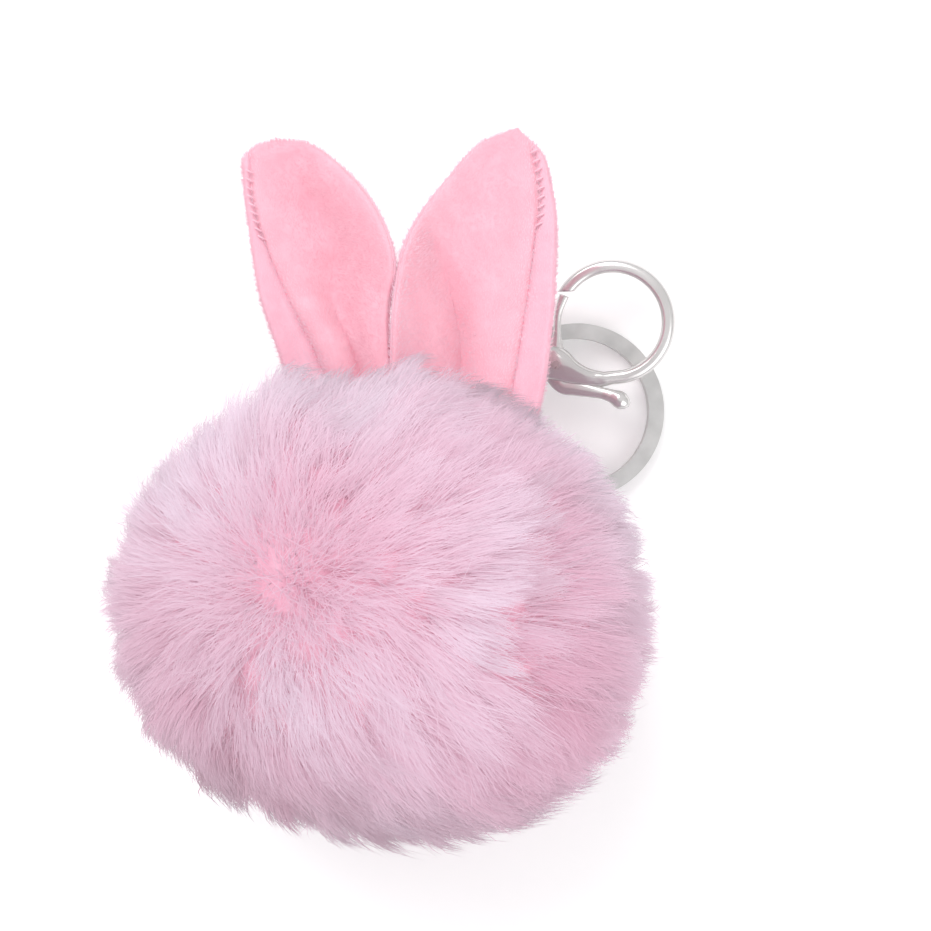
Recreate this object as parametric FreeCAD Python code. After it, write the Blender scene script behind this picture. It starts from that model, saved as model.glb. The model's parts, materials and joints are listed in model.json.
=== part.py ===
"""Plush pompom keychain: a fur ball with two rabbit ears, a split key ring and a swivel claw clasp.

Millimetres. +Z is up, +Y runs from the ball towards the ears, +X to the right of the ears.
The keychain lies on its back on a table. The origin is the centre of the ball's resting patch.
"""
import FreeCAD
import Part
import math
import os

from FreeCAD import Vector

# Fur ball
BALL_HALF_X = 44.0
BALL_HALF_Y = 38.5
BALL_HALF_Z = 38.5
BALL_CENTRE_Z = 36.5
PILE_LENGTH = 20.0
BACKING_THICKNESS = 0.9
EAR_SLOT_LEFT = -22.0
EAR_SLOT_RIGHT = 31.0
EAR_SLOT_BELOW = 3.0
EAR_SLOT_ABOVE = 11.0
EAR_SLOT_BACK = 6.0
EAR_SLOT_BEYOND = 4.0
EAR_SLOT_DROP = 2.0

# Ears
EAR_PANEL = 1.4
EAR_CUP_RADIUS = 17.0
EAR_HINGE_Y = 24.5
EAR_HINGE_Z = 37.0
EAR_TROUGH_Z = 34.0
EAR_FLOP_DOWN = 12.0
EAR_FLOP_UP = 20.0
RIGHT_EAR_ROOT_X = 12.0
RIGHT_EAR_LEAN = -10.5
LEFT_EAR_ROOT_X = -7.0
LEFT_EAR_LEAN = 10.2
RIGHT_EAR_OUTLINE = [
    (-6.0, 0.0), (-11.4, 10.0), (-14.0, 20.0), (-14.0, 29.0), (-10.6, 40.6), (-4.6, 48.2),
    (0.0, 51.3), (4.4, 49.0), (8.9, 39.0), (12.3, 22.5), (11.8, 10.0), (6.0, 0.0),
]
LEFT_EAR_OUTLINE = [
    (-5.0, 0.0), (-8.0, 11.0), (-9.0, 25.0), (-8.8, 36.0), (-6.6, 46.6), (-1.6, 49.4),
    (4.0, 47.4), (9.9, 41.0), (13.2, 33.6), (13.6, 27.0), (8.6, 10.0), (5.0, 0.0),
]
STITCH_RADIUS = 0.22
STITCH_LENGTH = 1.7
STITCH_PITCH = 1.9
STITCH_COUNT = 8
STITCH_START = 3.5
STITCH_INSET = 1.3
STITCH_LIFT = 0.12
TACK_RADIUS = 0.35
TACK_SPACING = 2.6
TACK_COUNT = 4
TACK_HEIGHT = 2.0
TACK_INSET = 2.6

# Split key ring
RING_OUTER_RADIUS = 15.0
RING_BAND = 2.6
RING_TURN = 1.16
RING_SEAM = 0.12
RING_CENTRE_X = 32.5
RING_CENTRE_Y = 31.0
RING_TILT = 6.0
RING_CROSSOVER_START = 236.0
RING_CROSSOVER_SWEEP = 14.0

# Hanger loop
CORD_RADIUS = 0.75
LOOP_RADIUS = 3.6
LOOP_RING_ANGLE = 198.0
LOOP_BEND = Vector(10.0, 40.0, 24.0)
LOOP_BEND_RADIUS = 5.0
LOOP_GAP = 2.2
LOOP_ROOT_LENGTH = 32.0
MOUTH_DEPTH = 24.0
KNOT_RADIUS = 2.1
KNOT_SETBACK = 3.0
DRAWSTRING_RADIUS = 0.5
DRAWSTRING_LOOP = 4.4
DRAWSTRING_KNOT_RADIUS = 1.0
DRAWSTRING_KNOT_OFFSET = 1.5
HOLE_CLEARANCE = 0.05

# Claw clasp, in its own frame: x from the eye to the hook, y to the gate's side, z off its flat
CLASP_RING_ANGLE = 170.0
CLASP_YAW = 33.2
CLASP_PITCH = 8.0
EYE_HEIGHT = 4.8
EYE_WIRE = 0.8
EYE_HALF_LENGTH = 4.2
EYE_HALF_HEIGHT = 3.5
EYE_CORNER = 2.0
POST_RADIUS = 1.0
POST_HEAD_RADIUS = 1.6
RUNNING_GAP = 0.06
BARREL_START = 6.8
BARREL_WALL = 0.9
BARREL_RADIUS = 2.2
BARREL_LENGTH = 3.6
BORE_LENGTH = 3.0
HEAD_THICKNESS = 0.7
HOOK_CENTRE_X = 23.3
HOOK_RADIUS = 9.45
HOOK_WIRE = 1.2
HOOK_START = 116.0
HOOK_SWEEP = 266.0
HOOK_TIP = Vector(19.4, 8.9, 0.0)
HOOK_TIP_SLANT = -10.0
GATE_GAP = 0.35
GATE_HALF_WIDTH = 0.65
GATE_OUTSET = 0.3
PIVOT = Vector(11.4, -0.8, 0.0)
PIN_RADIUS = 0.7
HUB_RADIUS = 2.5
BODY_HALF_HEIGHT = 2.2
BODY_SLIM_HALF_HEIGHT = 1.35
BODY_OUTLINE = [
    (8.8, 2.1), (10.0, 2.8), (12.6, 2.5), (14.6, 0.6), (14.9, -3.0), (16.3, -5.3), (18.4, -7.1),
    (17.2, -9.0), (14.6, -7.4), (12.2, -5.2), (10.0, -3.1), (8.8, -2.1),
]
SLOT_HALF_HEIGHT = 1.3
LEVER_LOW = -0.35
LEVER_HIGH = 1.1
KNOB = Vector(17.4, -12.3, 0.0)
KNOB_RADIUS = 1.4
LEVER_NECK = [(10.4, 0.6), (12.8, 3.4), (14.2, 3.4), (14.0, 0.2), (13.0, -1.6)]
LEVER_ARM = [
    (9.7, -2.2), (9.0, -4.0), (9.7, -5.3), (16.4, -12.2), (17.7, -11.0), (12.9, -5.4), (13.3, -2.0),
]
LEVER_OPENING = 20.0
LEVER_GAP = 0.35
LEVER_STEPS = 5
SPRING_WIRE = 0.16
SPRING_RADIUS = 1.0
SPRING_PITCH = 0.352
SPRING_CLEARANCE = 0.05
SPRING_TURNS = 2

UP = Vector(0, 0, 1)
RIGHT = Vector(1, 0, 0)
NORTH = Vector(0, 1, 0)
ORIGIN = Vector(0, 0, 0)
BALL_CENTRE = Vector(0, 0, BALL_CENTRE_Z)


def ellipsoid(half_x, half_y, half_z, centre):
    """A solid ellipsoid with the given half axes."""
    matrix = FreeCAD.Matrix()
    matrix.scale(half_x, half_y, half_z)
    ball = Part.makeSphere(1.0).transformGeometry(matrix)
    ball.translate(centre)
    return ball


def polygon_prism(points, low, high):
    """A prism on a closed outline of (x, y) points, from z low to z high."""
    corners = [Vector(x, y, low) for x, y in points]
    corners.append(corners[0])
    return Part.Face(Part.makePolygon(corners)).extrude(UP * (high - low))


def rod(start, end, radius):
    """A round rod between two points."""
    along = end - start
    return Part.makeCylinder(radius, along.Length, start, along)


def polar(centre, radius, degrees):
    """A point on a flat circle."""
    angle = math.radians(degrees)
    return centre + Vector(math.cos(angle), math.sin(angle), 0) * radius


def wire_sweep(edges, radius):
    """A round wire that follows a path of straight runs and tangent arcs."""
    path = Part.Wire(edges)
    start = path.OrderedEdges[0]
    point = start.valueAt(start.FirstParameter)
    along = start.tangentAt(start.FirstParameter)
    section = Part.Wire([Part.makeCircle(radius, point, along)])
    return path.makePipeShell([section], True, False)


# ---- fur ball ----

def core_half_axes(inset):
    """Half axes of the ball at a depth below the fur's outer envelope."""
    return BALL_HALF_X - inset, BALL_HALF_Y - inset, BALL_HALF_Z - inset


def core(inset):
    """The ball at a depth below the fur's outer envelope."""
    return ellipsoid(*core_half_axes(inset), BALL_CENTRE)


def ear_slot():
    """The wedge-shaped parting in the fur that both ears stand in and flop in."""
    reach = BALL_HALF_Y + EAR_SLOT_BEYOND - EAR_HINGE_Y
    down = EAR_TROUGH_Z - EAR_SLOT_DROP - reach * math.tan(math.radians(EAR_FLOP_DOWN))
    up = EAR_TROUGH_Z + EAR_SLOT_ABOVE + reach * math.tan(math.radians(EAR_FLOP_UP))
    back = BALL_HALF_Y - PILE_LENGTH - EAR_SLOT_BACK
    outline = [(back, EAR_TROUGH_Z - EAR_SLOT_BELOW), (back, EAR_TROUGH_Z + EAR_SLOT_ABOVE)]
    outline += [(EAR_HINGE_Y + reach, up), (EAR_HINGE_Y + reach, down)]
    corners = [Vector(EAR_SLOT_LEFT, y, z) for y, z in outline]
    corners.append(corners[0])
    return Part.Face(Part.makePolygon(corners)).extrude(RIGHT * (EAR_SLOT_RIGHT - EAR_SLOT_LEFT))


def fur_pile(holes):
    """The long pile: the ball's outer envelope down to the fabric, flat where it rests."""
    pile = core(0.0).cut(core(PILE_LENGTH))
    below = Part.makeBox(200, 200, 50, Vector(-100, -100, -50))
    return pile.cut([below, ear_slot()] + holes)


def fur_backing(holes):
    """The knitted fabric that the pile grows from."""
    return core(PILE_LENGTH).cut([core(PILE_LENGTH + BACKING_THICKNESS)] + holes)


def fibre_stuffing(holes):
    """The filling inside the fabric."""
    return core(PILE_LENGTH + BACKING_THICKNESS).cut(holes)


# ---- split key ring ----

def ring_placement():
    """The ring leans: its left side lies on the eye and the loop, its right side on the table."""
    tilt = math.radians(RING_TILT)
    height = RING_TURN + RING_SEAM / 2 + RING_OUTER_RADIUS * math.sin(tilt)
    centre = Vector(RING_CENTRE_X, RING_CENTRE_Y, height)
    return FreeCAD.Placement(centre, FreeCAD.Rotation(NORTH, RING_TILT))


def ring_sector(low, high, start, sweep):
    """A stretch of the flat band, in the ring's own frame."""
    inner = RING_OUTER_RADIUS - RING_BAND
    section = Part.makePlane(RING_BAND, high - low, Vector(inner, 0, low), Vector(0, -1, 0), RIGHT)
    shape = section.revolve(ORIGIN, UP, sweep)
    shape.rotate(ORIGIN, UP, start)
    return shape


def split_key_ring():
    """Two flat turns of one wire, joined where the wire steps from the lower turn to the upper."""
    top = RING_TURN + RING_SEAM / 2
    end = RING_CROSSOVER_START + RING_CROSSOVER_SWEEP
    open_turn = 359.0 - RING_CROSSOVER_SWEEP
    lower = ring_sector(-top, -RING_SEAM / 2, end, open_turn)
    upper = ring_sector(RING_SEAM / 2, top, end + 1.0, open_turn)
    step = ring_sector(-top, top, RING_CROSSOVER_START, RING_CROSSOVER_SWEEP)
    ring = step.fuse([lower, upper]).removeSplitter()
    ring.Placement = ring_placement()
    return ring


def on_ring(degrees):
    """The point on the ring's centre line at an angle, in the object's frame."""
    middle = RING_OUTER_RADIUS - RING_BAND / 2
    return ring_placement().multVec(polar(ORIGIN, middle, degrees))


def ring_tangent(degrees):
    """The ring's direction there, turned so that a positive hinge lifts the ring's far side."""
    angle = math.radians(degrees)
    flat = Vector(-math.sin(angle), math.cos(angle), 0)
    return ring_placement().Rotation.multVec(flat)


# ---- hanger loop ----

def loop_frame():
    """Centre of the ring's wire, the way from there to the bend outside the fur, and the way across."""
    centre = on_ring(LOOP_RING_ANGLE)
    toward = (LOOP_BEND - centre).normalize()
    across = ring_tangent(LOOP_RING_ANGLE).cross(toward).normalize()
    return centre, toward, across


def loop_inward():
    """From the bend into the ball."""
    return (BALL_CENTRE - LOOP_BEND).normalize()


def loop_strand(side):
    """One strand's end in the stuffing, its rounded bend and the point where it meets the ring's turn."""
    centre, toward, across = loop_frame()
    length = (LOOP_BEND - centre).Length
    half_gap = LOOP_GAP / 2
    lean = math.atan2(half_gap, length)
    turn = lean + math.acos(LOOP_RADIUS / math.hypot(length, half_gap))
    reach = toward * (LOOP_RADIUS * math.cos(turn))
    touch = centre + reach + across * (side * LOOP_RADIUS * math.sin(turn))
    corner = LOOP_BEND + across * (side * half_gap)
    inward = loop_inward()
    root = corner + inward * LOOP_ROOT_LENGTH
    down = (touch - corner).normalize()
    half_turn = (math.pi - inward.getAngle(down)) / 2
    setback = LOOP_BEND_RADIUS * math.tan(half_turn)
    bisector = (inward + down).normalize()
    sag = LOOP_BEND_RADIUS * (1 / math.cos(half_turn) - 1)
    return root, corner + inward * setback, corner + bisector * sag, corner + down * setback, touch


def loop_path():
    """Out of the ball along one strand, round the key ring, and back in along the other."""
    centre, toward, across = loop_frame()
    root, start, middle, end, touch = loop_strand(1)
    other_root, other_start, other_middle, other_end, other_touch = loop_strand(-1)
    far_side = centre - toward * LOOP_RADIUS
    return [
        Part.makeLine(root, start),
        Part.Arc(start, middle, end).toShape(),
        Part.makeLine(end, touch),
        Part.Arc(touch, far_side, other_touch).toShape(),
        Part.makeLine(other_touch, other_end),
        Part.Arc(other_end, other_middle, other_start).toShape(),
        Part.makeLine(other_start, other_root),
    ]


def hanger_loop():
    """The elastic cord."""
    return wire_sweep(loop_path(), CORD_RADIUS)


def loop_room():
    """The way that the two strands take through the fur, the fabric and the stuffing."""
    return wire_sweep(loop_path(), CORD_RADIUS + HOLE_CLEARANCE)


def loop_root():
    """The middle of the loop's two ends, inside the stuffing."""
    return LOOP_BEND + loop_inward() * (LOOP_ROOT_LENGTH + KNOT_SETBACK)


def mouth_centre():
    """Where the gathered mouth of the fabric closes round the loop."""
    return LOOP_BEND + loop_inward() * MOUTH_DEPTH


def drawstring(radius):
    """The ring of thread that gathers the mouth."""
    return Part.makeTorus(DRAWSTRING_LOOP, radius, mouth_centre(), loop_inward())


def drawstring_knot(radius):
    """The knot that holds the gathered mouth closed, beside the thread."""
    across = loop_frame()[2]
    return Part.makeSphere(radius, mouth_centre() + across * (DRAWSTRING_LOOP + DRAWSTRING_KNOT_OFFSET))


# ---- ears ----

def ear_placement(root_x, lean):
    """An ear's own frame: its root on the hinge line, leaning about the vertical."""
    return FreeCAD.Placement(Vector(root_x, EAR_HINGE_Y, EAR_TROUGH_Z), FreeCAD.Rotation(UP, lean))


def ear_outline(points):
    """The leaf-shaped outline of an ear, closed by its straight root."""
    curve = Part.BSplineCurve()
    curve.interpolate([Vector(x, y, 0) for x, y in points])
    root = Part.makeLine(Vector(*points[-1], 0), Vector(*points[0], 0))
    return Part.Face(Part.Wire([curve.toShape(), root]))


def ear_panel(points, inner, outer, root_x, lean):
    """One cupped fabric panel: the outline cut from a trough-shaped shell."""
    axis = Vector(0, -10, EAR_CUP_RADIUS)
    shell = Part.makeCylinder(outer, 80, axis, NORTH).cut(Part.makeCylinder(inner, 80, axis, NORTH))
    leaf = ear_outline(points).extrude(UP * EAR_CUP_RADIUS)
    leaf.translate(UP * -5.0)
    panel = shell.common(leaf)
    panel.Placement = ear_placement(root_x, lean).multiply(panel.Placement)
    return panel


def cup_height(x):
    """Height of the front panel's face above the trough's middle line."""
    radius = EAR_CUP_RADIUS - EAR_PANEL
    return EAR_CUP_RADIUS - math.sqrt(radius ** 2 - x ** 2)


def whip_stitches(points, side, root_x, lean):
    """Slanted stitches across the seam near the tip, on one side of the ear."""
    curve = Part.BSplineCurve()
    curve.interpolate([Vector(x, y, 0) for x, y in points])
    length = curve.length()
    middle = 0.5 * length
    stitches = []
    for index in range(STITCH_COUNT):
        along = middle + side * (STITCH_START + index * STITCH_PITCH)
        parameter = curve.parameterAtDistance(along)
        edge = curve.value(parameter)
        way = Vector(*curve.tangent(parameter)[0])
        inward = Vector(way.y, -way.x, 0)
        start = edge + inward * STITCH_INSET
        end = start + inward * STITCH_LENGTH * 0.9 + way * (side * STITCH_LENGTH * 0.4)
        lift = STITCH_RADIUS + STITCH_LIFT
        start.z = cup_height(start.x) + lift
        end.z = cup_height(end.x) + lift
        stitches.append(rod(start, end, STITCH_RADIUS))
    group = Part.makeCompound(stitches)
    group.Placement = ear_placement(root_x, lean)
    return group


def ear_tacks(root_x):
    """Short hand stitches that hold an ear's root to the ball's fabric."""
    half_x, half_y, half_z = core_half_axes(PILE_LENGTH)
    tacks = []
    for index in range(TACK_COUNT):
        x = root_x + (index - (TACK_COUNT - 1) / 2) * TACK_SPACING
        z = EAR_TROUGH_Z + TACK_HEIGHT
        fall = (x / half_x) ** 2 + ((z - BALL_CENTRE_Z) / half_z) ** 2
        surface = half_y * math.sqrt(1 - fall)
        start = Vector(x, surface + 0.3, z)
        end = Vector(x, EAR_HINGE_Y - TACK_INSET, z)
        tacks.append(rod(start, end, TACK_RADIUS))
    return Part.makeCompound(tacks)


# ---- claw clasp ----

def clasp_placement():
    """The clasp's own frame: its eye round the ring's band, its body leaning up over the ring."""
    spot = on_ring(CLASP_RING_ANGLE)
    return FreeCAD.Placement(
        Vector(spot.x, spot.y, EYE_HEIGHT), FreeCAD.Rotation(CLASP_YAW, -CLASP_PITCH, 0)
    )


def place_clasp(shape):
    """Move a shape from the clasp's own frame to the object's."""
    shape.Placement = clasp_placement().multiply(shape.Placement)
    return shape


def eye_path():
    """A rounded rectangle in the clasp's upright plane, starting at its top."""
    length = EYE_HALF_LENGTH
    height = EYE_HALF_HEIGHT
    turn = EYE_CORNER
    edges = []
    for quarter, (sx, sz) in enumerate([(1, 1), (1, -1), (-1, -1), (-1, 1)]):
        middle = Vector(sx * (length - turn), 0, sz * (height - turn))
        across = middle + Vector(0, 0, sz * turn)
        along = middle + Vector(sx * turn, 0, 0)
        mid = middle + Vector(sx, 0, sz).normalize() * turn
        ends = (across, along) if quarter % 2 == 0 else (along, across)
        edges.append(Part.Arc(ends[0], mid, ends[1]).toShape())
    straight = []
    for index, edge in enumerate(edges):
        following = edges[(index + 1) % len(edges)]
        start = edge.valueAt(edge.LastParameter)
        end = following.valueAt(following.FirstParameter)
        straight.append(Part.makeLine(start, end))
    path = []
    for arc, line in zip(edges, straight):
        path.extend([arc, line])
    return path


def swivel_eye():
    """The eye with its post, and the head that keeps the post in the clasp's barrel."""
    eye = wire_sweep(eye_path(), EYE_WIRE)
    head_start = BARREL_START + BARREL_WALL + RUNNING_GAP
    post = rod(RIGHT * EYE_HALF_LENGTH, RIGHT * (head_start + RUNNING_GAP), POST_RADIUS)
    head = Part.makeCylinder(POST_HEAD_RADIUS, HEAD_THICKNESS, RIGHT * head_start, RIGHT)
    return place_clasp(eye.fuse([post, head]).removeSplitter())


def hook_wire():
    """The round hook, from the slanted tip round to the body."""
    centre = RIGHT * HOOK_CENTRE_X
    point = polar(centre, HOOK_RADIUS, HOOK_START)
    along = polar(ORIGIN, 1.0, HOOK_START + 90)
    section = Part.Face(Part.Wire([Part.makeCircle(HOOK_WIRE, point, along)]))
    hook = section.revolve(centre, UP * -1, HOOK_SWEEP)
    return hook.cut(tip_cutter(-1, 0.0))


def tip_cutter(side, gap):
    """A slab above (side 1) or below (side -1) the slanted plane of the hook's tip."""
    slab = Part.makeBox(8, 6, 8, Vector(-4, 0 if side > 0 else -6, -4))
    slab.rotate(ORIGIN, UP, HOOK_TIP_SLANT)
    slant = math.radians(HOOK_TIP_SLANT)
    down = Vector(math.sin(slant), -math.cos(slant), 0)
    slab.translate(HOOK_TIP + down * gap)
    return slab


def body_plate():
    """The cast shank that widens from the barrel and runs out into the hook."""
    plate = polygon_prism(BODY_OUTLINE, -BODY_HALF_HEIGHT, BODY_HALF_HEIGHT)
    tall = BODY_HALF_HEIGHT
    slim = BODY_SLIM_HALF_HEIGHT
    top = [(5.0, tall), (12.0, tall), (17.5, slim), (20.0, slim)]
    bottom = [(x, -z) for x, z in reversed(top)]
    corners = [Vector(x, -15, z) for x, z in top + bottom]
    corners.append(corners[0])
    wedge = Part.Face(Part.makePolygon(corners)).extrude(NORTH * 30)
    return plate.common(wedge)


def flat_outline(points):
    """A flat face on a closed outline of (x, y) points."""
    corners = [Vector(x, y, 0) for x, y in points]
    corners.append(corners[0])
    return Part.Face(Part.makePolygon(corners))


def lever_faces():
    """The flat outlines of the lever's neck, up to the gate, and of its heel and thumb arm."""
    return [flat_outline(LEVER_NECK), flat_outline(LEVER_ARM)]


def lever_room():
    """The slot that the lever's hub, neck and arm sweep through."""
    high = SLOT_HALF_HEIGHT
    room = [Part.makeCylinder(HUB_RADIUS + LEVER_GAP, 2 * high, PIVOT - UP * high, UP)]
    for step in range(LEVER_STEPS + 1):
        for face in lever_faces():
            swept = face.makeOffset2D(LEVER_GAP).extrude(UP * 2 * high)
            swept.translate(UP * -high)
            swept.rotate(PIVOT, UP, -LEVER_OPENING * step / LEVER_STEPS)
            room.append(swept)
    return room


def clasp_body():
    """Barrel, shank and hook in one casting, bored for the swivel post and slotted for the lever."""
    barrel = Part.makeCylinder(BARREL_RADIUS, BARREL_LENGTH, RIGHT * BARREL_START, RIGHT)
    body = barrel.fuse([body_plate(), hook_wire()])
    bore = Part.makeCylinder(POST_RADIUS + RUNNING_GAP, BORE_LENGTH, RIGHT * (BARREL_START - 1), RIGHT)
    cavity_start = BARREL_START + BARREL_WALL
    cavity = Part.makeCylinder(
        POST_HEAD_RADIUS + RUNNING_GAP, HEAD_THICKNESS + 2 * RUNNING_GAP, RIGHT * cavity_start, RIGHT
    )
    pin_hole = Part.makeCylinder(PIN_RADIUS, 2 * BODY_HALF_HEIGHT, PIVOT - UP * BODY_HALF_HEIGHT, UP)
    body = body.cut([bore, cavity, pin_hole] + lever_room()).removeSplitter()
    return place_clasp(body)


def clasp_lever():
    """Gate, hub and thumb arm with its knob, in one piece on the pivot pin."""
    thick = LEVER_HIGH - LEVER_LOW
    centre = RIGHT * HOOK_CENTRE_X + UP * LEVER_LOW
    radius = HOOK_RADIUS + GATE_OUTSET
    outer = Part.makeCylinder(radius + GATE_HALF_WIDTH, thick, centre, UP)
    inner = Part.makeCylinder(radius - GATE_HALF_WIDTH, thick, centre, UP)
    span = [(HOOK_CENTRE_X, 0), (22.0, 14.0), (8.0, 14.0), (8.0, 1.4)]
    reach = polygon_prism(span, LEVER_LOW, LEVER_HIGH)
    gate = outer.cut(inner).common(reach).cut(tip_cutter(1, GATE_GAP))
    hub = Part.makeCylinder(HUB_RADIUS, thick, PIVOT + UP * LEVER_LOW, UP)
    plates = []
    for face in lever_faces():
        plate = face.extrude(UP * thick)
        plate.translate(UP * LEVER_LOW)
        plates.append(plate)
    knob = Part.makeSphere(KNOB_RADIUS, KNOB + UP * ((LEVER_LOW + LEVER_HIGH) / 2))
    lever = hub.fuse([gate, knob] + plates)
    pin_way = Part.makeCylinder(PIN_RADIUS + RUNNING_GAP, 10, PIVOT - UP * 5, UP)
    return place_clasp(lever.cut(pin_way).removeSplitter())


def lever_pin():
    """The rivet that the lever turns on."""
    length = 2 * BODY_HALF_HEIGHT
    return place_clasp(Part.makeCylinder(PIN_RADIUS, length, PIVOT - UP * BODY_HALF_HEIGHT, UP))


def lever_spring():
    """A torsion spring under the lever, coiled round the pin."""
    coils = []
    for turn in range(SPRING_TURNS):
        height = SPRING_WIRE + SPRING_CLEARANCE + turn * SPRING_PITCH - SLOT_HALF_HEIGHT
        coils.append(Part.makeTorus(SPRING_RADIUS, SPRING_WIRE, PIVOT + UP * height, UP))
    return place_clasp(Part.makeCompound(coils))


def export(name, shape):
    """Write one node's solids."""
    for solid in shape.Solids:
        assert solid.isValid(), name
    shape.exportStep(os.path.join("parts", name + ".step"))
    box = shape.optimalBoundingBox()
    print(
        f"{name}: {len(shape.Solids)} solids, {shape.Volume:.1f} mm3, "
        f"x {box.XMin:.1f} {box.XMax:.1f}, y {box.YMin:.1f} {box.YMax:.1f}, z {box.ZMin:.2f} {box.ZMax:.2f}"
    )


def build_ball():
    """The fur ball, its filling, and the loop and thread that come out of its mouth."""
    loop = loop_room()
    knot = Part.makeSphere(KNOT_RADIUS + HOLE_CLEARANCE, loop_root())
    string = drawstring(DRAWSTRING_RADIUS + HOLE_CLEARANCE)
    string_knot = drawstring_knot(DRAWSTRING_KNOT_RADIUS + HOLE_CLEARANCE)
    holes = [loop, knot, string, string_knot]
    export("fur_pile", fur_pile(holes))
    export("fur_backing", fur_backing(holes))
    export("fibre_stuffing", fibre_stuffing(holes))
    export("hanger_loop", hanger_loop())
    export("hanger_loop_knot", Part.makeSphere(KNOT_RADIUS, loop_root()))
    export("gather_drawstring", drawstring(DRAWSTRING_RADIUS))
    export("drawstring_knot", drawstring_knot(DRAWSTRING_KNOT_RADIUS))


def build_ear(name, points, stitch_side, root_x, lean):
    """One ear: two panels, the stitches along its edge and the tacks at its root."""
    middle = EAR_CUP_RADIUS
    export(name + "_ear_front_panel", ear_panel(points, middle - EAR_PANEL, middle, root_x, lean))
    export(name + "_ear_back_panel", ear_panel(points, middle, middle + EAR_PANEL, root_x, lean))
    export(name + "_ear_whip_stitches", whip_stitches(points, stitch_side, root_x, lean))
    export(name + "_ear_tack_stitches", ear_tacks(root_x))


def build_hardware():
    """The key ring and the claw clasp."""
    export("split_key_ring", split_key_ring())
    export("swivel_eye", swivel_eye())
    export("clasp_body", clasp_body())
    export("clasp_lever", clasp_lever())
    export("lever_pin", lever_pin())
    export("lever_spring", lever_spring())


def main():
    os.makedirs("parts", exist_ok=True)
    build_ball()
    build_ear("left", LEFT_EAR_OUTLINE, -1, LEFT_EAR_ROOT_X, LEFT_EAR_LEAN)
    build_ear("right", RIGHT_EAR_OUTLINE, 1, RIGHT_EAR_ROOT_X, RIGHT_EAR_LEAN)
    build_hardware()


main()
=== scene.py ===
"""A fluffy pink ball keychain with two velour ears, a flat split ring and a claw clasp, on its back."""

import json
import math

import bpy
import numpy as np
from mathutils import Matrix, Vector


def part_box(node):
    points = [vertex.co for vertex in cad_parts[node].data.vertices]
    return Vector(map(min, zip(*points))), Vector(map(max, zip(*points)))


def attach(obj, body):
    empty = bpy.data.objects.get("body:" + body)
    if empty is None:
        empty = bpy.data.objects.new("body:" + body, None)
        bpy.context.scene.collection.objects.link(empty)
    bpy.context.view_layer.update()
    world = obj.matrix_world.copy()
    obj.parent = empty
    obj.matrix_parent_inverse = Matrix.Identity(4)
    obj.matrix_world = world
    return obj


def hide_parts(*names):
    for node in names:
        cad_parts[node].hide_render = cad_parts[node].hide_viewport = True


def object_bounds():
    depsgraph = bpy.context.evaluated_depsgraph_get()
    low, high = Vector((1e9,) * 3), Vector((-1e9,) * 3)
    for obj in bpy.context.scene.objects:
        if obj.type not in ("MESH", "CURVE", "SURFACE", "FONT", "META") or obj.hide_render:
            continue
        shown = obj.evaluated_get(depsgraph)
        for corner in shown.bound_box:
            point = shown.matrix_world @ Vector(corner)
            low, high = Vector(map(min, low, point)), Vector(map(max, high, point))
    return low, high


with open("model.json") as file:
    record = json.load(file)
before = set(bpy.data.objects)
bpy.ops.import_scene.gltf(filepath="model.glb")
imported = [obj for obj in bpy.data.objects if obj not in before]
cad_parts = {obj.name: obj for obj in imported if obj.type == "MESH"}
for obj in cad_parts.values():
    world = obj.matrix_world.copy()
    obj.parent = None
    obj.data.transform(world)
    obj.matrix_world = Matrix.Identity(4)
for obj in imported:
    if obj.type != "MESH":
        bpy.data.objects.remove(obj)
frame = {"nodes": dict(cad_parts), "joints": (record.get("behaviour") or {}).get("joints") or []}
cad_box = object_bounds()

MM = 0.001
SEED = 20

# ---------------------------------------------------------------- what the frame gives, in millimetres


def corners(node):
    """The lowest and highest corners of a node's box."""
    low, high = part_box(node)
    return np.array(low) / MM, np.array(high) / MM


PILE_LOW, PILE_HIGH = corners("fur_pile")
STUFFING_LOW, STUFFING_HIGH = corners("fibre_stuffing")
BALL_CENTRE = (STUFFING_LOW + STUFFING_HIGH) / 2
BALL_HALF = np.array([PILE_HIGH[0], -PILE_LOW[1], PILE_HIGH[2] - BALL_CENTRE[2]])
FLOOR = cad_box[0].z / MM

# ---------------------------------------------------------------- camera, light and floor

CAMERA_PLACE = (0.0135, 0.0217, 0.485)
CAMERA_LENS = 108.9
FLOOR_SIZE = 3.0
FLOOR_GLOW = 0.16
WORLD_STRENGTH = 0.78
WORLD_LOW, WORLD_HIGH = (0.55, 0.54, 0.55), (1.0, 0.99, 1.0)


def make_camera():
    """Straight above the object, with the ears towards the top of the picture."""
    data = bpy.data.cameras.new("camera")
    data.sensor_width = 36
    data.lens = CAMERA_LENS
    data.clip_start = 0.01
    camera = bpy.data.objects.new("camera", data)
    camera.location = CAMERA_PLACE
    bpy.context.scene.collection.objects.link(camera)
    bpy.context.scene.camera = camera


def make_light(name, place, size, power):
    """A soft square light that points at the ball."""
    data = bpy.data.lights.new(name, "AREA")
    data.size = size
    data.energy = power
    light = bpy.data.objects.new(name, data)
    light.location = place
    aim = Vector(BALL_CENTRE * MM) - Vector(place)
    light.rotation_mode = "QUATERNION"
    light.rotation_quaternion = aim.to_track_quat("-Z", "Y")
    bpy.context.scene.collection.objects.link(light)


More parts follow.
